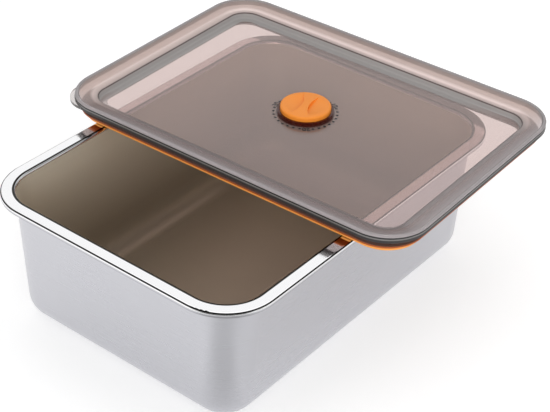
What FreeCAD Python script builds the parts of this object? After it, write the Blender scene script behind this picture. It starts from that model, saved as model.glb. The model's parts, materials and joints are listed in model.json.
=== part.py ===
import FreeCAD, Part
import math
import os

from FreeCAD import Vector

# A dough proofing container: a deep drawn steel tub and a smoky plastic lid with a date dial.
# The origin is the middle of the tub's base, +X runs along the tub's long side and +Z is up.
# The lid lies crosswise on the tub's rim, over one end, as it does while dough goes in and out.

# Tub, pressed from one steel sheet
tub_length = 270.0
tub_width = 197.0
tub_height = 91.0
sheet = 0.8
flange_corner_radius = 33.5
flange_flat = 7.4
mouth_edge_radius = 2.0
wall_lean = 4.5
base_bend_radius = 16.0
floor_corner_radius = 1.0
hem_drop = 3.0
hem_bend_radius = 1.2

# Lid, one moulding: rolled edge, sloping border, plug wall and sunken panel
lid_overlap = 3.8
skirt_height = 3.7
skirt_wall = 1.8
bead_radius = 1.3
bead_width = 1.9
bead_step = 0.7
bead_step_run = 0.8
crease_radius = 0.5
border_width = 14.8
border_fall = 3.3
border_wall = 2.0
border_edge_radius = 0.8
panel_drop = 3.9
panel_wall = 2.0
panel_corner_radius = 1.5
plug_depth = 9.2
plug_wall = 2.0
plug_draft = 0.5
foot_reach = 1.2
foot_height = 1.2
skirt_edge_radius = 0.4

# Pull tab at one corner of the lid
tab_reach = 3.2
tab_radius = 17.0
tab_blend_radius = 3.0
tab_wall = 1.8

# Lid gasket, a silicone band with a sealing fin and a lip that hooks under the plug wall
gasket_clearance = 0.1
gasket_stand = 0.2
band_wall = 2.0
fin_drop = 4.5
fin_squeeze = 0.3
fin_wall = 1.5
fin_tip_radius = 0.7
lip_reach = 4.5
lip_wall = 1.6
lip_radius = 0.7

# Date dial, a little off the lid's middle
dial_offset = 2.6
knob_diameter = 32.5
knob_rise = 6.1
knob_lift = 0.4
knob_wall = 1.6
knob_crown = 0.5
knob_edge_radius = 1.3
scoop_span = 30.0
scoop_depth = 1.8
ridge_curve_radius = 23.0
ridge_waist = 4.6
collar_gap = 0.4
collar_wall = 1.2
collar_height = 2.8
hub_diameter = 13.0
stem_diameter = 8.0
stem_clearance = 0.08
stem_tail = 0.9
stem_chamfer = 0.6
seal_wall = 1.5
seal_width = 2.2
seal_clearance = 0.1
clip_diameter = 14.0
clip_wall = 1.0
clip_band = 1.9
clip_gap = 0.3
clip_clearance = 0.1
clip_lug_width = 2.4
clip_mouth = 6.0
groove_depth = 0.8

# How the lid lies on the tub
lid_turn = 91.5
lid_shift_x = 53.7
lid_shift_y = -2.1
rest_gap = 0.2
dial_turn = 18.5

# Shared by every cut, and the distance under which two points are one
overrun = 1.0
same_point = 1e-6

ORIGIN = Vector(0, 0, 0)
UP = Vector(0, 0, 1)
QUARTER = 90

# Sizes that follow from those above
mouth_inset = flange_flat + mouth_edge_radius
mouth_length = tub_length - 2 * mouth_inset
mouth_width = tub_width - 2 * mouth_inset
mouth_corner_radius = flange_corner_radius - mouth_inset
base_bend = min(base_bend_radius, mouth_corner_radius - wall_lean - floor_corner_radius)

lid_length = mouth_length + 2 * lid_overlap
lid_width = mouth_width + 2 * lid_overlap
lid_corner_radius = mouth_corner_radius + lid_overlap
bead_top = skirt_height + bead_radius
crease_inset = bead_width + bead_step_run
crease_top = bead_top - bead_step
border_top = crease_top - border_fall
panel_top = border_top - panel_drop
panel_bottom = panel_top - panel_wall
plug_inset = border_width - plug_wall
foot_inset = plug_inset - foot_reach
foot_top = foot_height - plug_depth
gasket_bottom = -plug_depth - gasket_stand

dial_place = Vector(dial_offset, 0, 0)
knob_radius = knob_diameter / 2
stem_radius = stem_diameter / 2
groove_radius = stem_radius - groove_depth
knob_top = panel_top + knob_rise
knob_bottom = panel_top + knob_lift
hub_bottom = panel_top + seal_wall + 2 * seal_clearance
clip_top = panel_bottom - clip_gap
clip_bottom = clip_top - clip_wall
stem_end = clip_bottom - clip_clearance - stem_tail


def rounded_face(corners):
    """A face in the XZ plane; each corner is (x, z, radius)."""
    starts, middles, ends = [], [], []
    points = [Vector(x, 0, z) for x, z, radius in corners]
    for i, here in enumerate(points):
        radius = corners[i][2]
        to_last = (points[i - 1] - here).normalize()
        to_next = (points[(i + 1) % len(points)] - here).normalize()
        half_angle = to_last.getAngle(to_next) / 2
        reach = radius / math.tan(half_angle)
        inward = (to_last + to_next).normalize()
        starts.append(here + to_last * reach)
        middles.append(here + inward * (radius / math.sin(half_angle) - radius))
        ends.append(here + to_next * reach)
    edges = []
    for i in range(len(points)):
        if corners[i][2] > 0:
            edges.append(Part.Arc(starts[i], middles[i], ends[i]).toShape())
        following = starts[(i + 1) % len(points)]
        if ends[i].distanceToPoint(following) > same_point:
            edges.append(Part.LineSegment(ends[i], following).toShape())
    return Part.Face(Part.Wire(edges))


def swept_ring(corners, length, width, corner_radius):
    """Sweep a section round a rounded rectangle; a corner's x is its inset from the outline."""
    section = rounded_face([(corner_radius - inset, z, radius) for inset, z, radius in corners])
    half_x = length / 2 - corner_radius
    half_y = width / 2 - corner_radius
    pieces = []
    for k, (side_x, side_y) in enumerate(((1, 1), (-1, 1), (-1, -1), (1, -1))):
        centre = Vector(side_x * half_x, side_y * half_y, 0)
        next_centre = Vector(-side_y * half_x, side_x * half_y, 0)
        start = section.rotated(ORIGIN, UP, QUARTER * k).translated(centre)
        finish = section.rotated(ORIGIN, UP, QUARTER * (k + 1)).translated(centre)
        pieces.append(start.revolve(centre, UP, QUARTER))
        pieces.append(finish.extrude(next_centre - centre))
    return pieces[0].multiFuse(pieces[1:]).removeSplitter()


def rounded_plate(length, width, corner_radius, bottom, thickness):
    """A flat plate with rounded corners."""
    half_x = length / 2 - corner_radius
    half_y = width / 2 - corner_radius
    edges = []
    for k, (side_x, side_y) in enumerate(((1, 1), (-1, 1), (-1, -1), (1, -1))):
        centre = Vector(side_x * half_x, side_y * half_y, bottom)
        next_centre = Vector(-side_y * half_x, side_x * half_y, bottom)
        spokes = []
        for share in (0, 1 / 2, 1):
            angle = math.radians(QUARTER * (k + share))
            spokes.append(Vector(math.cos(angle), math.sin(angle), 0) * corner_radius)
        edges.append(Part.Arc(*[centre + spoke for spoke in spokes]).toShape())
        edges.append(Part.LineSegment(centre + spokes[2], next_centre + spokes[2]).toShape())
    return Part.Face(Part.Wire(edges)).extrude(UP * thickness)


def ring(outer_radius, inner_radius, bottom, height):
    """A plain round ring about the Z axis."""
    outside = Part.makeCylinder(outer_radius, height, Vector(0, 0, bottom))
    inside = Part.makeCylinder(inner_radius, height + 2 * overrun, Vector(0, 0, bottom - overrun))
    return outside.cut(inside)


def inner_wall_inset(z):
    """Inset of the tub's inner wall face at a height."""
    return mouth_inset + wall_lean * (1 - z / tub_height)


def make_tub():
    """Flange with a turned-down hem, leaning walls, a wide base bend and a flat floor."""
    slant_sheet = sheet * math.hypot(wall_lean, tub_height) / tub_height
    under_flange = tub_height - sheet
    floor_inset = mouth_inset + wall_lean + base_bend
    section = (
        (0, tub_height - hem_drop, 0),
        (0, tub_height, hem_bend_radius),
        (mouth_inset, tub_height, mouth_edge_radius),
        (inner_wall_inset(sheet), sheet, base_bend - sheet),
        (floor_inset, sheet, 0),
        (floor_inset, 0, 0),
        (inner_wall_inset(0) - slant_sheet, 0, base_bend),
        (inner_wall_inset(under_flange) - slant_sheet, under_flange, mouth_edge_radius - sheet),
        (sheet, under_flange, 0),
        (sheet, tub_height - hem_drop, 0),
    )
    walls = swept_ring(section, tub_length, tub_width, flange_corner_radius)
    floor = rounded_plate(
        tub_length - 2 * floor_inset,
        tub_width - 2 * floor_inset,
        flange_corner_radius - floor_inset,
        0,
        sheet,
    )
    return walls.fuse(floor).removeSplitter()


def border_underside(inset):
    """Height of the border's underside, which follows its sloping top."""
    fall_rate = border_fall / (border_width - crease_inset)
    slant_wall = border_wall * math.hypot(1, fall_rate)
    return crease_top - (inset - crease_inset) * fall_rate - slant_wall


def make_lid():
    """The lid in its own frame: its middle over the origin, its skirt standing on z = 0."""
    panel_inset = border_width + plug_draft + panel_corner_radius + plug_wall
    section = (
        (0, 0, skirt_edge_radius),
        (0, bead_top, bead_radius),
        (bead_width, bead_top, crease_radius),
        (crease_inset, crease_top, crease_radius),
        (border_width, border_top, border_edge_radius),
        (border_width + plug_draft, panel_top, panel_corner_radius),
        (panel_inset, panel_top, 0),
        (panel_inset, panel_bottom, 0),
        (border_width + plug_draft, panel_bottom, 0),
        (border_width, -plug_depth, 0),
        (foot_inset, -plug_depth, 0),
        (foot_inset, foot_top, 0),
        (plug_inset, foot_top, 0),
        (plug_inset, border_underside(plug_inset), 0),
        (skirt_wall, border_underside(skirt_wall), 0),
        (skirt_wall, 0, 0),
    )
    rim = swept_ring(section, lid_length, lid_width, lid_corner_radius)
    panel = rounded_plate(
        lid_length - 2 * panel_inset,
        lid_width - 2 * panel_inset,
        lid_corner_radius - panel_inset,
        panel_bottom,
        panel_wall,
    )
    collar_radius = knob_radius + collar_gap
    collar_base = panel_top - panel_wall / 2
    collar_full = collar_height + panel_wall / 2
    collar = ring(collar_radius + collar_wall, collar_radius, collar_base, collar_full)
    bore = Part.makeCylinder(
        stem_radius + stem_clearance,
        panel_wall + 2 * overrun,
        Vector(0, 0, panel_bottom - overrun),
    )
    lid = rim.multiFuse([panel, collar.translated(dial_place), make_pull_tab()])
    return lid.cut(bore.translated(dial_place)).removeSplitter()


def make_pull_tab():
    """A crescent ear on the skirt of one corner, blended into the corner's arc."""
    ear_centre = lid_corner_radius + tab_reach - tab_radius
    to_blend = lid_corner_radius + tab_blend_radius
    ear_to_blend = tab_radius + tab_blend_radius
    blend_x = (to_blend ** 2 - ear_to_blend ** 2 + ear_centre ** 2) / (2 * ear_centre)
    blend_y = math.sqrt(to_blend ** 2 - blend_x ** 2)
    ear_tip = Vector(lid_corner_radius + tab_reach, 0, 0)
    inner_radius = lid_corner_radius - skirt_wall / 2
    foot_points, inner_points, ear_points, arcs = [], [], [], []
    for side in (-1, 1):
        blend = Vector(blend_x, side * blend_y, 0)
        to_corner = (ORIGIN - blend).normalize()
        to_ear = (Vector(ear_centre, 0, 0) - blend).normalize()
        between = (to_corner + to_ear).normalize()
        foot = blend + to_corner * tab_blend_radius
        join = blend + to_ear * tab_blend_radius
        arcs.append(Part.Arc(foot, blend + between * tab_blend_radius, join).toShape())
        foot_points.append(foot)
        ear_points.append(join)
        inner_points.append(foot * (inner_radius / lid_corner_radius))
    edges = [
        arcs[0],
        Part.Arc(ear_points[0], ear_tip, ear_points[1]).toShape(),
        arcs[1],
        Part.LineSegment(foot_points[1], inner_points[1]).toShape(),
        Part.Arc(inner_points[1], Vector(inner_radius, 0, 0), inner_points[0]).toShape(),
        Part.LineSegment(inner_points[0], foot_points[0]).toShape(),
    ]
    tab = Part.Face(Part.Wire(Part.__sortEdges__(edges))).extrude(UP * tab_wall)
    tab = tab.rotated(ORIGIN, UP, QUARTER / 2)
    corner_x = lid_length / 2 - lid_corner_radius
    corner_y = lid_width / 2 - lid_corner_radius
    return tab.translated(Vector(corner_x, corner_y, 0))


def make_lid_gasket():
    """A band round the plug wall, with a fin that seals on the tub's wall and a lip under the foot."""
    fin_tip = lid_overlap - fin_squeeze
    fin_top = -fin_drop
    fin_bottom = fin_top - fin_wall
    back = plug_inset - gasket_clearance
    front = back - band_wall
    hook = foot_inset - gasket_clearance
    hook_top = foot_top + gasket_clearance
    lip_tip = front - lip_reach
    lip_top = gasket_bottom + lip_wall
    section = (
        (lip_tip, gasket_bottom, lip_radius),
        (hook, gasket_bottom, 0),
        (hook, hook_top, 0),
        (back, hook_top, 0),
        (back, border_underside(back) - gasket_clearance, 0),
        (front, border_underside(front) - gasket_clearance, 0),
        (front, fin_top, 0),
        (fin_tip, fin_top, fin_tip_radius),
        (fin_tip, fin_bottom, fin_tip_radius),
        (front, fin_bottom, 0),
        (front, lip_top, 0),
        (lip_tip, lip_top, lip_radius),
    )
    return swept_ring(section, lid_length, lid_width, lid_corner_radius)


def make_finger_scoop(side):
    """The cutter for one scoop: a round groove, deepest beside the ridge and fading to the rim."""
    near = ridge_waist / 2
    tilt = math.degrees(math.atan2(scoop_depth, knob_radius - near))
    finger_radius = ((scoop_span / 2) ** 2 + scoop_depth ** 2) / (2 * scoop_depth)
    start = Vector(-knob_diameter, 0, finger_radius)
    groove = Part.makeCylinder(finger_radius, 2 * knob_diameter, start, Vector(1, 0, 0))
    groove = groove.rotated(ORIGIN, Vector(0, 1, 0), -tilt)
    groove = groove.translated(Vector(near, 0, knob_top - scoop_depth))
    post_foot = Vector(near + ridge_curve_radius, 0, knob_top - 2 * scoop_depth)
    post = Part.makeCylinder(ridge_curve_radius, 2 * finger_radius, post_foot)
    cutter = groove.common(post)
    return cutter if side > 0 else cutter.rotated(ORIGIN, UP, 2 * QUARTER)


def arc_point(centre_x, centre_z, radius, angle):
    """A point of an arc in the XZ plane, with its angle measured from straight up."""
    return Vector(centre_x + radius * math.sin(angle), 0, centre_z + radius * math.cos(angle))


def make_dial_knob():
    """A crowned hollow cap with a waisted grip ridge, on the stem that holds it in the lid."""
    hub_radius = hub_diameter / 2
    roof = knob_top - scoop_depth - knob_wall
    groove_top = clip_top + clip_clearance
    groove_bottom = clip_bottom - clip_clearance
    crown_radius = (knob_radius ** 2 + knob_crown ** 2) / (2 * knob_crown)
    crown_z = knob_top - crown_radius
    edge_x = knob_radius - knob_edge_radius
    lean = math.asin(edge_x / (crown_radius - knob_edge_radius))
    edge_z = crown_z + (crown_radius - knob_edge_radius) * math.cos(lean)
    level = math.radians(QUARTER)
    crown = [arc_point(0, crown_z, crown_radius, angle) for angle in (0, lean / 2, lean)]
    edge_angles = (lean, (lean + level) / 2, level)
    edge = [arc_point(edge_x, edge_z, knob_edge_radius, angle) for angle in edge_angles]
    corners = (
        (knob_radius, edge_z),
        (knob_radius, knob_bottom),
        (knob_radius - knob_wall, knob_bottom),
        (knob_radius - knob_wall, roof),
        (hub_radius, roof),
        (hub_radius, hub_bottom),
        (stem_radius, hub_bottom),
        (stem_radius, groove_top),
        (groove_radius, groove_top),
        (groove_radius, groove_bottom),
        (stem_radius, groove_bottom),
        (stem_radius, stem_end + stem_chamfer),
        (stem_radius - stem_chamfer, stem_end),
        (0, stem_end),
        (0, knob_top),
    )
    points = [Vector(x, 0, z) for x, z in corners]
    lines = [Part.LineSegment(start, end).toShape() for start, end in zip(points, points[1:])]
    outline = [Part.Arc(*crown).toShape(), Part.Arc(*edge).toShape()] + lines
    knob = Part.Face(Part.Wire(outline)).revolve(ORIGIN, UP, 4 * QUARTER)
    return knob.cut(make_finger_scoop(1)).cut(make_finger_scoop(-1)).removeSplitter()


def make_dial_seal():
    """A flat silicone ring on the stem, between the knob's hub and the lid's panel."""
    inner = stem_radius + seal_clearance
    return ring(inner + seal_width, inner, panel_top + seal_clearance, seal_wall)


def make_dial_clip():
    """A spring clip with three lugs in the stem's groove, under the panel."""
    outer = clip_diameter / 2
    lug_tip = groove_radius + clip_clearance
    clip = ring(outer, outer - clip_band, clip_bottom, clip_wall)
    opening = Part.makeBox(
        outer + overrun,
        clip_mouth,
        clip_wall + 2 * overrun,
        Vector(0, -clip_mouth / 2, clip_bottom - overrun),
    )
    clip = clip.cut(opening)
    lug = Part.makeBox(
        outer - clip_band / 2,
        clip_lug_width,
        clip_wall,
        Vector(0, -clip_lug_width / 2, clip_bottom),
    )
    bore = Part.makeCylinder(lug_tip, clip_wall + 2 * overrun, Vector(0, 0, clip_bottom - overrun))
    lug_turns = (QUARTER, 2 * QUARTER, 3 * QUARTER)
    lugs = [lug.rotated(ORIGIN, UP, turn).cut(bore) for turn in lug_turns]
    return clip.multiFuse(lugs).removeSplitter()


def lay_lid_piece(shape):
    """Move a lid piece from the lid's own frame to where the lid lies on the tub."""
    lid_height = tub_height + rest_gap - gasket_bottom
    return shape.rotated(ORIGIN, UP, lid_turn).translated(Vector(lid_shift_x, lid_shift_y, lid_height))


def lay_dial_piece(shape):
    """Set a dial piece in the lid, turned as it is shown, and lay it with the lid."""
    return lay_lid_piece(shape.rotated(ORIGIN, UP, dial_turn).translated(dial_place))


nodes = {
    "tub": make_tub(),
    "lid": lay_lid_piece(make_lid()),
    "lid_gasket": lay_lid_piece(make_lid_gasket()),
    "dial_knob": lay_dial_piece(make_dial_knob()),
    "dial_seal": lay_dial_piece(make_dial_seal()),
    "dial_clip": lay_dial_piece(make_dial_clip()),
}

os.makedirs("parts", exist_ok=True)
for name, shape in nodes.items():
    shape.exportStep("parts/" + name + ".step")
    box = shape.BoundBox
    print(name, len(shape.Solids), shape.isValid(), round(shape.Volume, 1))
    print("   x", round(box.XMin, 2), round(box.XMax, 2), "y", round(box.YMin, 2), round(box.YMax, 2))
    print("   z", round(box.ZMin, 2), round(box.ZMax, 2))
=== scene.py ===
import json
import math
from collections import namedtuple

import bmesh
import bpy
from mathutils import Matrix, Vector


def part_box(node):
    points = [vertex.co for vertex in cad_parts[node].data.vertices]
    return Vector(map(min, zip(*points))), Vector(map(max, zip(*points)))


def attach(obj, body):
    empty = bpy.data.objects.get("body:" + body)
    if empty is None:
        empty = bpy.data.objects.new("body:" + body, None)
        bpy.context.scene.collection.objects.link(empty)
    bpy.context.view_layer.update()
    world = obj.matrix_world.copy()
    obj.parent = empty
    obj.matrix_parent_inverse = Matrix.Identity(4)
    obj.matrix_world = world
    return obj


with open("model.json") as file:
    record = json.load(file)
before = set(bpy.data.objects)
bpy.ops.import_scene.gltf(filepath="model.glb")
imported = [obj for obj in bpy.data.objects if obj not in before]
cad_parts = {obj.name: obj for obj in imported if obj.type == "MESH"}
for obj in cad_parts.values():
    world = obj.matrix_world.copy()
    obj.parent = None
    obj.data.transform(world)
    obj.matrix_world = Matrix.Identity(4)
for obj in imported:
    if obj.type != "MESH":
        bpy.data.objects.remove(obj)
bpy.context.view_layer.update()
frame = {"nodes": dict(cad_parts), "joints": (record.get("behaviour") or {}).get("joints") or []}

MM = 0.001

# The photograph's camera: its angles, its distance from the base's middle and its aim beside that
VIEW_AZIMUTH = -52.51
VIEW_ELEVATION = 34.90
VIEW_ROLL = 2.11
VIEW_DISTANCE = 970.66 * MM
AIM_RIGHT = 16.85 * MM
AIM_UP = 44.11 * MM
SENSOR_WIDTH = 36.0
FOCAL_PIXELS = 1502.07
PHOTO_WIDTH_PIXELS = 550

# Places taken from the frame
TUB_LOW, TUB_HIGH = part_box("tub")
LID_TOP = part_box("lid")[1].z
GASKET_LOW, GASKET_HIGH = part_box("lid_gasket")
LID_MIDDLE = (Vector(GASKET_LOW) + Vector(GASKET_HIGH)) / 2
SEAL_CLEARANCE = 0.1 * MM
PANEL_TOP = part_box("dial_seal")[0].z - SEAL_CLEARANCE
DIAL_AXIS = Vector(next(joint["pos_m"] for joint in frame["joints"] if joint["name"] == "dial_turn"))

# The tub's corners, and the middle of the one nearest the camera
TUB_CORNER_RADIUS = 33.5 * MM
TUB_NEAR_CORNER = Vector((TUB_LOW.x + TUB_CORNER_RADIUS, TUB_LOW.y + TUB_CORNER_RADIUS, 0))

# The lid's outline in its own frame, the foot of its skirt and the dial's collar
LID_TURN = math.radians(91.5)
LID_HALF_LENGTH = 129.4 * MM
LID_HALF_WIDTH = 92.9 * MM
LID_CORNER_RADIUS = 27.9 * MM
RIM_HEIGHT = 5.0 * MM
SKIRT_FOOT = LID_TOP - RIM_HEIGHT
COLLAR_RADIUS = 18.0 * MM

# The range that most of any noise lies in, and plain white
NOISE_RANGE = (0.3, 0.7)
WHITE = (1, 1, 1, 1)

# The tub's steel: the heights between which the flange's polish sets in
POLISH_START = (TUB_HIGH.z - 1.9 * MM, TUB_HIGH.z - 1.4 * MM)
# Painted dark reflection: the dark line where the flange turns down into the mouth, by its inset from the
# tub's outline
MOUTH_LINE = (7.0 * MM, 8.4 * MM)
MOUTH_LINE_SOFTNESS = 0.3 * MM
# Painted dark reflection on the rim's bend and a painted grey shade line at the hem's foot, by their drop
# below the flange's top
RIM_LINE = (0.12 * MM, 0.75 * MM)
HEM_FOOT_LINE = (2.6 * MM, 3.2 * MM)
RIM_LINE_SOFTNESS = 0.1 * MM
# The inset at which those two lines end, so that they stay off the mouth
RIM_INSET = (1.2 * MM, 1.5 * MM)
# Faces count as the inside when they face the tub's middle or look up, and as upright when they look level
FACING_IN = (0.0, 10 * MM)
FACING_UP = (0.3, 0.6)
UPRIGHT = (0.15, 0.5)
# Painted shade and reflection inside: its colour is darker towards the bottom and turns lighter between
# these heights, and its warm tan is painted reflection
INSIDE_PAINTED_SHADE_HEIGHTS = (0.25 * TUB_HIGH.z, 0.85 * TUB_HIGH.z)
STEEL_INSIDE_PAINTED_TONES = ((0.47, 0.41, 0.325, 1), (0.93, 0.84, 0.69, 1))
STEEL_OUTSIDE = ((0.56, 0.56, 0.6, 1), (0.6, 0.6, 0.63, 1))
STEEL_POLISHED = (0.93, 0.93, 0.94, 1)
# Colours of the painted dark reflection lines on the bends and of the painted shade line at the hem's foot
STEEL_PAINTED_DARK_REFLECTION = (0.03, 0.028, 0.026, 1)
STEEL_HEM_FOOT_PAINTED_SHADE = (0.4, 0.4, 0.42, 1)
# The roughness of brushed and of polished steel, and what its clouds and the inside add to it
SATIN_ROUGHNESS = (0.24, 0.31)
POLISHED_ROUGHNESS = 0.12
CLOUD_ROUGHNESS = 0.04
INSIDE_ROUGHNESS = 0.14
INSIDE_METALLIC = 0.6
BRUSHING_STRETCH = (30, 30, 3000)

# The lid's plastic: the colour and clearness of its panel, of the dial's collar, darkened as painted shade,
# and of the painted shadow round the collar's foot
PANEL_LOOK = ((0.72, 0.585, 0.56, 1), 0.87)
COLLAR_PAINTED_SHADE_LOOK = ((0.085, 0.008, 0.003, 1), 0.45)
COLLAR_PAINTED_SHADOW_LOOK = ((0.14, 0.07, 0.06, 1), 0.4)
# The height where the collar starts and the radius where it ends, then those of the painted shadow round
# its foot, each with a fade
COLLAR_START = (PANEL_TOP + 0.05 * MM, PANEL_TOP + 0.3 * MM)
COLLAR_END = (COLLAR_RADIUS, COLLAR_RADIUS + 0.3 * MM)
COLLAR_PAINTED_SHADOW_START = (PANEL_TOP - 0.6 * MM, PANEL_TOP - 0.4 * MM)
COLLAR_PAINTED_SHADOW_END = (COLLAR_RADIUS + 0.2 * MM, COLLAR_RADIUS + 1.5 * MM)
# Zones of the rim, in millimetres: insets from the outline, heights over the skirt's foot, and softness
# A far zone is only on the two sides away from the tub's open end, from a place on the lid's diagonal
Zone = namedtuple("Zone", "insets heights softness colour clearness far_start", defaults=[None])
ANY_HEIGHT = (-20, 9)
# Several zones paint light: painted shadow under the bead, painted shade on the skirt, inner edge and far
# border, painted highlights on the skirt stripe and far inner border, painted reflection on the outer
# border
LID_ZONES = {
    "border": Zone((-9, 15.8), ANY_HEIGHT, 0.4, (0.71, 0.62, 0.615, 1), 0.72),
    # Painted reflection: the border turns lighter and bluer towards the outline
    "outer border painted reflection": Zone((-9, 6.0), ANY_HEIGHT, 7.0, (0.73, 0.68, 0.69, 1), 0.62),
    # Painted shade: on the two far sides the border's top is darker and pinker
    "far border painted shade": Zone((2.6, 14.4), (0.9, 9), 1.2, (0.6, 0.465, 0.42, 1), 0.62, far_start=-0.32),
    # Painted highlight: a pale strip along the inner border on the two far sides
    "far inner border painted highlight": Zone((10.0, 14.4), (0.9, 9), 2.0, (0.84, 0.68, 0.64, 1), 0.35, far_start=-0.32),
    "plug": Zone((11.2, 15.8), (-20, 0.3), 0.3, (0.44, 0.42, 0.41, 1), 0.15),
    "far band": Zone((15.0, 20.2), (-20, 0.3), 0.4, (0.43, 0.41, 0.4, 1), 0.2, far_start=-0.1),
    # Painted shade: a dark line where the border meets the panel
    "inner edge painted shade": Zone((14.3, 15.4), (0.6, 9), 0.5, (0.08, 0.06, 0.055, 1), 0.3),
    # Painted shadow: a black line under the bead
    "painted shadow under the bead": Zone((-0.3, 1.2), (2.8, 3.9), 0.3, (0.01, 0.01, 0.01, 1), 0.1),
    # Painted shade: the skirt is a near-black, less clear copy of the plastic
    "skirt": Zone((-0.3, 2.1), (-1, 2.8), 0.3, (0.05, 0.045, 0.045, 1), 0.3),
    # Painted highlight: a lighter stripe along the skirt
    "skirt painted highlight stripe": Zone((-0.3, 2.1), (2.0, 2.8), 0.3, (0.3, 0.29, 0.28, 1), 0.4),
    "tab": Zone((-9, -0.3), ANY_HEIGHT, 0.3, (0.7, 0.67, 0.66, 1), 0.88),
}
FAR_FADE = 0.4
# The skirt and the bead's side are matt, from the outline in and up to a height, and the rest is glossy
MATT_INSETS = (-0.3 * MM, 1.0 * MM)
MATT_SOFTNESS = 0.3 * MM
MATT_TOP = (SKIRT_FOOT + 3.7 * MM, SKIRT_FOOT + 4.1 * MM)
MATT_ROUGHNESS = 0.5
GLOSS_ROUGHNESS = (0.01, 0.03)
LID_SHADOW_TINT = (0.8, 0.74, 0.72, 1)

# The gasket's silicone: the heights where its lip and its fin end, each with a fade, and its colours: the
# lip's own orange a little lightened as painted highlight, the fin and the band above it darker as painted
# shade
LIP_END = (GASKET_LOW.z + 1.4 * MM, GASKET_LOW.z + 2.2 * MM)
FIN_END = (GASKET_LOW.z + 4.5 * MM, GASKET_LOW.z + 4.8 * MM)
GASKET_LIP_ORANGE_AND_HIGHLIGHT = (0.98, 0.4, 0.08, 1)
GASKET_FIN_PAINTED_SHADE = (0.42, 0.085, 0.006, 1)
GASKET_BAND_PAINTED_SHADE = (0.14, 0.07, 0.05, 1)

# The two tones between which each of the other materials varies, and how patchy the seal is
SEAL_TONES = ((0.5, 0.16, 0.02, 1), (0.45, 0.14, 0.015, 1))
SEAL_PATCH_RANGE = (0.35, 0.65)
KNOB_TONES = ((0.93, 0.285, 0.03, 1), (0.95, 0.31, 0.038, 1))
CLIP_TONES = ((0.55, 0.55, 0.57, 1), (0.66, 0.66, 0.68, 1))
INK_TONES = ((0.012, 0.011, 0.011, 1), (0.03, 0.028, 0.028, 1))
# Their roughness, and the depths of the grains
SILICONE_ROUGHNESS = (0.38, 0.5)
KNOB_ROUGHNESS = (0.34, 0.46)
CLIP_ROUGHNESS = (0.2, 0.35)
INK_ROUGHNESS = (0.35, 0.55)
GRAIN_DEPTH = 0.2 * MM
KNOB_GRAIN_DEPTH = 0.1 * MM

# The printed scale round the dial
SCALE_RADIUS = 20.3 * MM
SCALE_STEPS = 31
SCALE_LABELS = {0: "30", 11: "10", 21: "20"}
SCALE_FIRST_ANGLE = 103
DOT_RADIUS = 0.88 * MM
DOT_SIDES = 16
INK_THICKNESS = 0.04 * MM
LABEL_HEIGHT = 5.4 * MM
LABEL_WEIGHT = 0.12 * MM

# The floor, which glows a little where it is seen, so that it shows white
FLOOR_SIZE = 8.0
FLOOR_COLOUR = (0.82, 0.82, 0.82, 1)
FLOOR_GLOW = 0.38
# Shares of the glow that gloss doesn't mirror: at a spot before the tub's near corner, and past its -Y wall
DIM_SPOT = 0.85
DIM_SPOT_DISTANCE = 77 * MM
DIM_SPOT_RADII = (25 * MM, 65 * MM)
DIM_SIDE = 0.35
DIM_SIDE_FADE = 30 * MM
# The wedge in front that gloss mirrors dark, by the cosine of its angle and its distance from that corner
DARK_FRONT = (0.5, 0.85)
DARK_FRONT_START = (140 * MM, 160 * MM)
DARK_FLOOR_COLOUR = (0.02, 0.02, 0.02, 1)

# The room: its level as light, and the levels that metal and gloss mirror at its sides and in the dark
WORLD_LEVEL = 0.76
SIDE_LEVEL = 0.55
DARK_LEVEL = 0.07
# The bright screen behind the object, its edge by the cosine of the angle from its middle
SCREEN_ELEVATION = 50
SCREEN_EDGE = (0.76, 0.92)
# Where the sides end: towards the screen, by the cosine of the turn from it, and upwards, by the sine
SIDE_END = (0.7, 0.9)
SIDE_TOP = (0.6, 0.75)

# The lamps: angles in degrees, distance and size in metres, power in watts, and whether gloss shows them
Lamp = namedtuple("Lamp", "azimuth elevation distance width height power mirrored")
LAMPS = {
    "top_softbox": Lamp(VIEW_AZIMUTH + 180, 72, 1.3, 1.0, 1.0, 1, True),
    "front_fill": Lamp(VIEW_AZIMUTH, 14, 1.6, 1.2, 0.8, 11, False),
}


def material(name):
    """A new node material, and its empty tree."""
    made = bpy.data.materials.new(name)
    made.use_nodes = True
    made.node_tree.nodes.clear()
    return made, made.node_tree


def add(tree, kind, settings=(), **inputs):
    """A node with its settings and inputs, which i0, i1 and so on give by place; a socket is linked."""
    made = tree.nodes.new("ShaderNode" + kind)
    for key, value in dict(settings).items():
        setattr(made, key, value)
    for key, value in inputs.items():
        place = int(key[1:]) if key[0] == "i" and key[1:].isdigit() else key.replace("_", " ")
        if isinstance(value, bpy.types.NodeSocket):
            tree.links.new(value, made.inputs[place])
        else:
            made.inputs[place].default_value = value
    return made


def math_node(tree, operation, first, second=0.0, clamp=False):
    """The result of one sum."""
    settings = {"operation": operation, "use_clamp": clamp}
    return add(tree, "Math", settings, i0=first, i1=second).outputs[0]


def product(tree, first, second):
    """One number times another."""
    return math_node(tree, "MULTIPLY", first, second)


def larger(tree, first, second):
    """The larger of two numbers."""
    return math_node(tree, "MAXIMUM", first, second)


def vector_node(tree, operation, first, second=(0, 0, 0)):
    """The vector that one sum of vectors gives."""
    return add(tree, "VectorMath", {"operation": operation}, i0=first, i1=second).outputs["Vector"]


def vector_measure(tree, operation, first, second=(0, 0, 0)):
    """The number that one sum of vectors gives."""
    return add(tree, "VectorMath", {"operation": operation}, i0=first, i1=second).outputs["Value"]


def axis_part(tree, vector, axis):
    """A vector's part along one axis."""
    return add(tree, "SeparateXYZ", Vector=vector).outputs[axis]


def flattened(tree, vector):
    """A vector without its height."""
    return vector_node(tree, "MULTIPLY", vector, (1, 1, 0))


def blend(tree, share, first, second):
    """A number between two others."""
    return add(tree, "Mix", i0=share, i2=first, i3=second).outputs[0]


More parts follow.
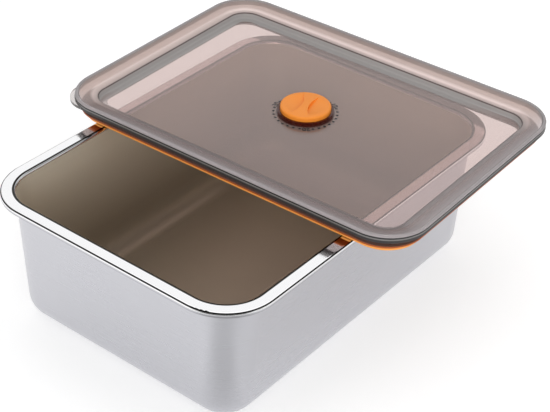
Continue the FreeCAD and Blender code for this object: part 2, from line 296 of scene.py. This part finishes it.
def blend_colour(tree, share, first, second):
    """A colour between two others."""
    return add(tree, "Mix", {"data_type": "RGBA"}, i0=share, i6=first, i7=second).outputs[2]


def ramp(tree, value, low, high, to_low=0.0, to_high=1.0):
    """A value carried from one range to another, held at its ends."""
    settings = {"clamp": True}
    return add(tree, "MapRange", settings, i0=value, i1=low, i2=high, i3=to_low, i4=to_high).outputs[0]


def fall(tree, value, low, high):
    """1 up to a first value, and down to 0 at a second."""
    return ramp(tree, value, low, high, 1.0, 0.0)


def between(tree, value, low, high, softness):
    """1 where a value lies between two others, with soft ends."""
    half = softness / 2
    start = ramp(tree, value, low - half, low + half)
    return product(tree, start, fall(tree, value, high - half, high + half))


def noise(tree, place, scale, detail=2.0):
    """Noise at a place, about 0.5."""
    return add(tree, "TexNoise", Vector=place, Scale=scale, Detail=detail).outputs["Fac"]


def spread(tree, value, low, high):
    """Noise carried from its usual range to another."""
    return ramp(tree, value, *NOISE_RANGE, low, high)


def stretched(tree, place, factors):
    """The place with each axis scaled, so that a pattern is drawn out along some of them."""
    return add(tree, "Mapping", Vector=place, Scale=factors).outputs[0]


def bump(tree, height, strength, distance):
    """A normal from a height."""
    return add(tree, "Bump", Strength=strength, Distance=distance, Height=height).outputs[0]


def object_place(tree):
    """The place on a piece, in the frame of the CAD."""
    return add(tree, "TexCoord").outputs["Object"]


def outline_inset(tree, place, half_length, half_width, corner_radius):
    """How far a place lies inside a rounded rectangle about the origin."""
    corner = (half_length - corner_radius, half_width - corner_radius, 0)
    past = vector_node(tree, "SUBTRACT", vector_node(tree, "ABSOLUTE", place), corner)
    along = axis_part(tree, past, "X")
    across = axis_part(tree, past, "Y")
    squares = [math_node(tree, "POWER", larger(tree, reach, 0.0), 2.0) for reach in (along, across)]
    round_reach = math_node(tree, "SQRT", math_node(tree, "ADD", *squares))
    straight_reach = math_node(tree, "MINIMUM", larger(tree, along, across), 0.0)
    return math_node(tree, "SUBTRACT", corner_radius, math_node(tree, "ADD", round_reach, straight_reach))


def sent_on(tree):
    """1 for rays that metal or glass sends on."""
    path = add(tree, "LightPath").outputs
    return larger(tree, path["Is Glossy Ray"], path["Is Transmission Ray"])


def direction(azimuth, elevation):
    """The direction from the object towards a place round it."""
    turn, rise = math.radians(azimuth), math.radians(elevation)
    return Vector((math.sin(turn) * math.cos(rise), -math.cos(turn) * math.cos(rise), math.sin(rise)))


def steel_roughness(tree, brushing, clouds, within, polished):
    """The roughness of the tub's steel."""
    brushed = spread(tree, brushing, *SATIN_ROUGHNESS)
    satin = math_node(tree, "ADD", brushed, spread(tree, clouds, 0, CLOUD_ROUGHNESS))
    satin = math_node(tree, "ADD", satin, ramp(tree, within, 0, 1, 0, INSIDE_ROUGHNESS))
    return blend(tree, polished, satin, POLISHED_ROUGHNESS)


def steel_colour(tree, place, height, clouds, within, polished):
    """The colour of the tub's steel, with painted dark reflection lines along its flange and rim and a
    painted grey shade line at the hem's foot.
    """
    outside = blend_colour(tree, clouds, *STEEL_OUTSIDE)
    # Painted shade and reflection: the inside is warm tan and darker towards the bottom
    inside = blend_colour(tree, ramp(tree, height, *INSIDE_PAINTED_SHADE_HEIGHTS), *STEEL_INSIDE_PAINTED_TONES)
    satin = blend_colour(tree, within, outside, inside)
    colour = blend_colour(tree, polished, satin, STEEL_POLISHED)
    inset = outline_inset(tree, place, TUB_HIGH.x, TUB_HIGH.y, TUB_CORNER_RADIUS)
    drop = math_node(tree, "SUBTRACT", TUB_HIGH.z, height)
    at_rim = fall(tree, inset, *RIM_INSET)
    # Painted dark reflections at the mouth and on the rim's bend, and painted shade at the hem's foot
    mouth_painted_reflection = product(tree, between(tree, inset, *MOUTH_LINE, MOUTH_LINE_SOFTNESS), polished)
    rim_painted_reflection = product(tree, between(tree, drop, *RIM_LINE, RIM_LINE_SOFTNESS), at_rim)
    hem_foot_painted_shade = product(tree, between(tree, drop, *HEM_FOOT_LINE, RIM_LINE_SOFTNESS), at_rim)
    colour = blend_colour(tree, larger(tree, mouth_painted_reflection, rim_painted_reflection), colour, STEEL_PAINTED_DARK_REFLECTION)
    return blend_colour(tree, hem_foot_painted_shade, colour, STEEL_HEM_FOOT_PAINTED_SHADE)


def steel_material():
    """Satin drawn steel with a polished flange, warm tan inside as painted reflection, darker towards the
    bottom as painted shade, and thin painted lines of dark reflection and grey shade along its bends.
    """
    made, tree = material("tub_steel")
    place = object_place(tree)
    normal = add(tree, "TexCoord").outputs["Normal"]
    height = axis_part(tree, place, "Z")
    upward = axis_part(tree, normal, "Z")
    polished = ramp(tree, height, *POLISH_START)
    inwards = vector_node(tree, "MULTIPLY", place, (-1, -1, 0))
    facing_in = vector_measure(tree, "DOT_PRODUCT", inwards, normal)
    within = larger(tree, ramp(tree, facing_in, *FACING_IN), ramp(tree, upward, *FACING_UP))
    brushing = noise(tree, stretched(tree, place, BRUSHING_STRETCH), scale=1.0, detail=3.0)
    clouds = noise(tree, place, scale=14.0)
    lines = product(tree, brushing, fall(tree, math_node(tree, "ABSOLUTE", upward), *UPRIGHT))
    dull = math_node(tree, "SUBTRACT", within, polished, clamp=True)
    shader = add(
        tree,
        "BsdfPrincipled",
        Base_Color=steel_colour(tree, place, height, clouds, within, polished),
        Metallic=ramp(tree, dull, 0, 1, 1.0, INSIDE_METALLIC),
        Roughness=steel_roughness(tree, brushing, clouds, within, polished),
        Normal=bump(tree, lines, strength=0.06, distance=GRAIN_DEPTH),
    )
    add(tree, "OutputMaterial", Surface=shader.outputs[0])
    return made


def lid_place(tree, place):
    """The place in the lid's own frame."""
    turn = (0, 0, LID_TURN)
    settings = {"vector_type": "TEXTURE"}
    return add(tree, "Mapping", settings, Vector=place, Location=LID_MIDDLE, Rotation=turn).outputs[0]


def lid_diagonal(tree, own):
    """How far a place lies towards the lid's two sides away from the tub's open end: 2 at their corner."""
    along = math_node(tree, "DIVIDE", axis_part(tree, own, "X"), LID_HALF_LENGTH)
    across = math_node(tree, "DIVIDE", axis_part(tree, own, "Y"), LID_HALF_WIDTH)
    return math_node(tree, "SUBTRACT", along, across)


def zone_share(tree, zone, inset, height, diagonal):
    """1 in a zone of the lid's rim, with its soft edges."""
    insets = [end * MM for end in zone.insets]
    heights = [SKIRT_FOOT + end * MM for end in zone.heights]
    softness = zone.softness * MM
    across = between(tree, inset, *insets, softness)
    share = product(tree, across, between(tree, height, *heights, softness))
    if zone.far_start is None:
        return share
    return product(tree, share, ramp(tree, diagonal, zone.far_start, zone.far_start + FAR_FADE))


def lid_looks(tree, place, height, own, inset):
    """The lid's colour and clearness: the panel's, and over it the collar's and the rim's zones', with
    painted shade and shadow at the collar and painted light and shade in several rim zones.
    """
    from_dial = vector_measure(tree, "DISTANCE", flattened(tree, place), (DIAL_AXIS.x, DIAL_AXIS.y, 0))
    # Painted shadow on the panel round the collar's foot, and the collar darkened as painted shade
    foot = product(tree, ramp(tree, height, *COLLAR_PAINTED_SHADOW_START), fall(tree, from_dial, *COLLAR_PAINTED_SHADOW_END))
    collar = product(tree, ramp(tree, height, *COLLAR_START), fall(tree, from_dial, *COLLAR_END))
    looks = [(foot, *COLLAR_PAINTED_SHADOW_LOOK), (collar, *COLLAR_PAINTED_SHADE_LOOK)]
    diagonal = lid_diagonal(tree, own)
    for zone in LID_ZONES.values():
        looks.append((zone_share(tree, zone, inset, height, diagonal), zone.colour, zone.clearness))
    colour, clearness = PANEL_LOOK
    for share, look_colour, look_clearness in looks:
        colour = blend_colour(tree, share, colour, look_colour)
        clearness = blend(tree, share, clearness, look_clearness)
    return colour, clearness


def lid_material():
    """Smoky clear plastic with a tinted rim and collar, carrying painted shade, shadow, highlight and
    reflection in some zones; its shadow is pale.
    """
    made, tree = material("lid_plastic")
    place = object_place(tree)
    height = axis_part(tree, place, "Z")
    own = lid_place(tree, place)
    inset = outline_inset(tree, own, LID_HALF_LENGTH, LID_HALF_WIDTH, LID_CORNER_RADIUS)
    colour, clearness = lid_looks(tree, place, height, own, inset)
    matt = product(tree, between(tree, inset, *MATT_INSETS, MATT_SOFTNESS), fall(tree, height, *MATT_TOP))
    gloss = spread(tree, noise(tree, place, scale=60.0), *GLOSS_ROUGHNESS)
    shader = add(
        tree,
        "BsdfPrincipled",
        Base_Color=colour,
        Roughness=blend(tree, matt, gloss, MATT_ROUGHNESS),
        IOR=1.49,
        Transmission_Weight=clearness,
    )
    shadow = add(tree, "LightPath").outputs["Is Shadow Ray"]
    clear = add(tree, "BsdfTransparent", Color=LID_SHADOW_TINT)
    surface = add(tree, "MixShader", i0=shadow, i1=shader.outputs[0], i2=clear.outputs[0])
    add(tree, "OutputMaterial", Surface=surface.outputs[0])
    return made


def silicone_shader(tree, place, colour):
    """Matt silicone with faint mould grain."""
    grain = noise(tree, place, scale=900.0)
    return add(
        tree,
        "BsdfPrincipled",
        Base_Color=colour,
        Roughness=spread(tree, grain, *SILICONE_ROUGHNESS),
        Normal=bump(tree, grain, strength=0.1, distance=GRAIN_DEPTH),
    )


def gasket_material():
    """Orange silicone: a bright lip, lightened as painted highlight, and a deeper fin and a dark band over
    it, darkened as painted shade.
    """
    made, tree = material("gasket_silicone")
    place = object_place(tree)
    height = axis_part(tree, place, "Z")
    # Painted highlight on the lip, and painted shade on the fin and the band above it
    colour = blend_colour(tree, ramp(tree, height, *LIP_END), GASKET_LIP_ORANGE_AND_HIGHLIGHT, GASKET_FIN_PAINTED_SHADE)
    colour = blend_colour(tree, ramp(tree, height, *FIN_END), colour, GASKET_BAND_PAINTED_SHADE)
    shader = silicone_shader(tree, place, colour)
    add(tree, "OutputMaterial", Surface=shader.outputs[0])
    return made


def seal_material():
    """Dark orange silicone, a little patchy."""
    made, tree = material("seal_silicone")
    place = object_place(tree)
    patches = ramp(tree, noise(tree, place, scale=40.0), *SEAL_PATCH_RANGE)
    shader = silicone_shader(tree, place, blend_colour(tree, patches, *SEAL_TONES))
    add(tree, "OutputMaterial", Surface=shader.outputs[0])
    return made


def knob_material():
    """Moulded orange plastic with a fine spark-eroded grain."""
    made, tree = material("knob_plastic")
    place = object_place(tree)
    grain = noise(tree, place, scale=1400.0)
    shader = add(
        tree,
        "BsdfPrincipled",
        Base_Color=blend_colour(tree, noise(tree, place, scale=90.0), *KNOB_TONES),
        Roughness=spread(tree, grain, *KNOB_ROUGHNESS),
        Specular_IOR_Level=0.35,
        Normal=bump(tree, grain, strength=0.08, distance=KNOB_GRAIN_DEPTH),
    )
    add(tree, "OutputMaterial", Surface=shader.outputs[0])
    return made


def clip_material():
    """Bright spring steel."""
    made, tree = material("clip_steel")
    grain = noise(tree, object_place(tree), scale=700.0)
    shader = add(
        tree,
        "BsdfPrincipled",
        Base_Color=blend_colour(tree, grain, *CLIP_TONES),
        Metallic=1.0,
        Roughness=spread(tree, grain, *CLIP_ROUGHNESS),
    )
    add(tree, "OutputMaterial", Surface=shader.outputs[0])
    return made


def ink_material():
    """Black printing ink, a little uneven."""
    made, tree = material("scale_ink")
    cover = noise(tree, object_place(tree), scale=2500.0)
    shader = add(
        tree,
        "BsdfPrincipled",
        Base_Color=blend_colour(tree, cover, *INK_TONES),
        Roughness=spread(tree, cover, *INK_ROUGHNESS),
    )
    add(tree, "OutputMaterial", Surface=shader.outputs[0])
    return made


def floor_material():
    """White that glows a little where it is seen, with its dim spot, side and wedge for mirrored rays."""
    made, tree = material("floor_white")
    place = add(tree, "NewGeometry").outputs["Position"]
    path = add(tree, "LightPath").outputs
    mirrored = path["Is Glossy Ray"]
    front = direction(VIEW_AZIMUTH, 0)
    spot = TUB_NEAR_CORNER + front * DIM_SPOT_DISTANCE
    in_spot = ramp(tree, vector_measure(tree, "DISTANCE", place, spot), *DIM_SPOT_RADII, DIM_SPOT, 0.0)
    side = axis_part(tree, place, "Y")
    on_side = ramp(tree, side, TUB_LOW.y - DIM_SIDE_FADE, TUB_LOW.y, DIM_SIDE, 0.0)
    dim = product(tree, larger(tree, in_spot, on_side), mirrored)
    plain = add(tree, "BsdfDiffuse", Color=FLOOR_COLOUR)
    glow = add(tree, "Emission", Color=WHITE, Strength=ramp(tree, dim, 0.0, 1.0, FLOOR_GLOW, 0.0))
    glowing = add(tree, "AddShader", i0=plain.outputs[0], i1=glow.outputs[0])
    seen = larger(tree, path["Is Camera Ray"], sent_on(tree))
    pale = add(tree, "MixShader", i0=seen, i1=plain.outputs[0], i2=glowing.outputs[0])
    away = vector_node(tree, "SUBTRACT", place, TUB_NEAR_CORNER)
    ahead = vector_measure(tree, "DOT_PRODUCT", vector_node(tree, "NORMALIZE", away), front)
    far_off = vector_measure(tree, "LENGTH", away)
    wedge = product(tree, ramp(tree, ahead, *DARK_FRONT), ramp(tree, far_off, *DARK_FRONT_START))
    in_wedge = product(tree, wedge, mirrored)
    dark = add(tree, "BsdfDiffuse", Color=DARK_FLOOR_COLOUR)
    surface = add(tree, "MixShader", i0=in_wedge, i1=pale.outputs[0], i2=dark.outputs[0])
    add(tree, "OutputMaterial", Surface=surface.outputs[0])
    return made


def dress(node, made):
    """Give a solid of the frame its material."""
    slots = frame["nodes"][node].data.materials
    slots.clear()
    slots.append(made)


def new_object(name, data):
    """A new object in the scene."""
    made = bpy.data.objects.new(name, data)
    bpy.context.scene.collection.objects.link(made)
    return made


def label_mesh(text):
    """The mesh of a short label, lying flat with its middle at the origin."""
    curve = bpy.data.curves.new("label_" + text, "FONT")
    curve.body = text
    curve.size = LABEL_HEIGHT
    curve.offset = LABEL_WEIGHT
    curve.align_x = "CENTER"
    curve.align_y = "CENTER"
    curve.extrude = INK_THICKNESS / 2
    holder = new_object("label_" + text, curve)
    mesh = bpy.data.meshes.new_from_object(holder)
    bpy.data.objects.remove(holder)
    return mesh


def make_scale():
    """Printed dots round the dial, one for each day of a month, with a number at every tenth."""
    middle = Vector((DIAL_AXIS.x, DIAL_AXIS.y, PANEL_TOP + INK_THICKNESS / 2))
    shape = bmesh.new()
    for step in range(SCALE_STEPS):
        angle = math.radians(SCALE_FIRST_ANGLE - 360 / SCALE_STEPS * step)
        out = Vector((math.cos(angle), math.sin(angle), 0))
        turn = Matrix.Rotation(angle - math.pi / 2, 4, "Z")
        placed = Matrix.Translation(middle + out * SCALE_RADIUS) @ turn
        if step in SCALE_LABELS:
            mesh = label_mesh(SCALE_LABELS[step])
            mesh.transform(placed)
            shape.from_mesh(mesh)
            continue
        bmesh.ops.create_cone(
            shape,
            cap_ends=True,
            segments=DOT_SIDES,
            radius1=DOT_RADIUS,
            radius2=DOT_RADIUS,
            depth=INK_THICKNESS,
            matrix=placed,
        )
    mesh = bpy.data.meshes.new("dial_scale_print")
    shape.to_mesh(mesh)
    shape.free()
    mesh.materials.append(ink_material())
    return new_object("dial_scale_print", mesh)


def make_floor():
    """A white floor that keeps the object's shadow."""
    half = FLOOR_SIZE / 2
    corners = [(-half, -half, 0), (half, -half, 0), (half, half, 0), (-half, half, 0)]
    mesh = bpy.data.meshes.new("floor")
    mesh.from_pydata(corners, [], [(0, 1, 2, 3)])
    mesh.materials.append(floor_material())
    new_object("floor", mesh)


def make_world():
    """Soft light from all round; metal and gloss mirror a bright screen, lit sides and a dark rest."""
    world = bpy.data.worlds.new("studio")
    world.use_nodes = True
    tree = world.node_tree
    tree.nodes.clear()
    towards = add(tree, "TexCoord").outputs["Generated"]
    screen = direction(VIEW_AZIMUTH + 180, SCREEN_ELEVATION)
    near_screen = vector_measure(tree, "DOT_PRODUCT", towards, screen)
    bearing = vector_node(tree, "NORMALIZE", flattened(tree, towards))
    turned = vector_measure(tree, "DOT_PRODUCT", bearing, direction(VIEW_AZIMUTH + 180, 0))
    rise = axis_part(tree, towards, "Z")
    beside = product(tree, fall(tree, turned, *SIDE_END), fall(tree, rise, *SIDE_TOP))
    side_light = ramp(tree, beside, 0.0, 1.0, 0.0, SIDE_LEVEL)
    mirrored = larger(tree, ramp(tree, near_screen, *SCREEN_EDGE, DARK_LEVEL, 1.0), side_light)
    plain = ramp(tree, add(tree, "LightPath").outputs["Is Camera Ray"], 0, 1, WORLD_LEVEL, 1.0)
    background = add(tree, "Background", Color=WHITE, Strength=blend(tree, sent_on(tree), plain, mirrored))
    add(tree, "OutputWorld", Surface=background.outputs[0])
    bpy.context.scene.world = world


def make_softbox(name, lamp):
    """A rectangular lamp that faces the object from one side."""
    light = bpy.data.lights.new(name, "AREA")
    light.shape = "RECTANGLE"
    light.size = lamp.width
    light.size_y = lamp.height
    light.energy = lamp.power
    made = new_object(name, light)
    made.visible_glossy = lamp.mirrored
    away = direction(lamp.azimuth, lamp.elevation)
    made.location = Vector((0, 0, TUB_HIGH.z)) + away * lamp.distance
    made.rotation_mode = "QUATERNION"
    made.rotation_quaternion = away.to_track_quat("Z", "Y")


def make_camera():
    """The photograph's view."""
    turn, roll = math.radians(VIEW_AZIMUTH), math.radians(VIEW_ROLL)
    back = direction(VIEW_AZIMUTH, VIEW_ELEVATION)
    level_right = Vector((math.cos(turn), math.sin(turn), 0))
    level_up = back.cross(level_right)
    right = level_right * math.cos(roll) + level_up * math.sin(roll)
    up = level_up * math.cos(roll) - level_right * math.sin(roll)
    data = bpy.data.cameras.new("camera")
    data.sensor_width = SENSOR_WIDTH
    data.lens = SENSOR_WIDTH * FOCAL_PIXELS / PHOTO_WIDTH_PIXELS
    made = new_object("camera", data)
    place = Matrix((right, up, back)).transposed().to_4x4()
    place.translation = back * VIEW_DISTANCE + right * AIM_RIGHT + up * AIM_UP
    made.matrix_world = place
    bpy.context.scene.camera = made


node_materials = {
    "tub": steel_material,
    "lid": lid_material,
    "lid_gasket": gasket_material,
    "dial_knob": knob_material,
    "dial_seal": seal_material,
    "dial_clip": clip_material,
}
for node, make_material in node_materials.items():
    dress(node, make_material())

scale_print = make_scale()
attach(scale_print, "lid")

make_floor()
make_world()
for name, lamp in LAMPS.items():
    make_softbox(name, lamp)
make_camera()

bpy.context.scene.view_settings.view_transform = "Standard"
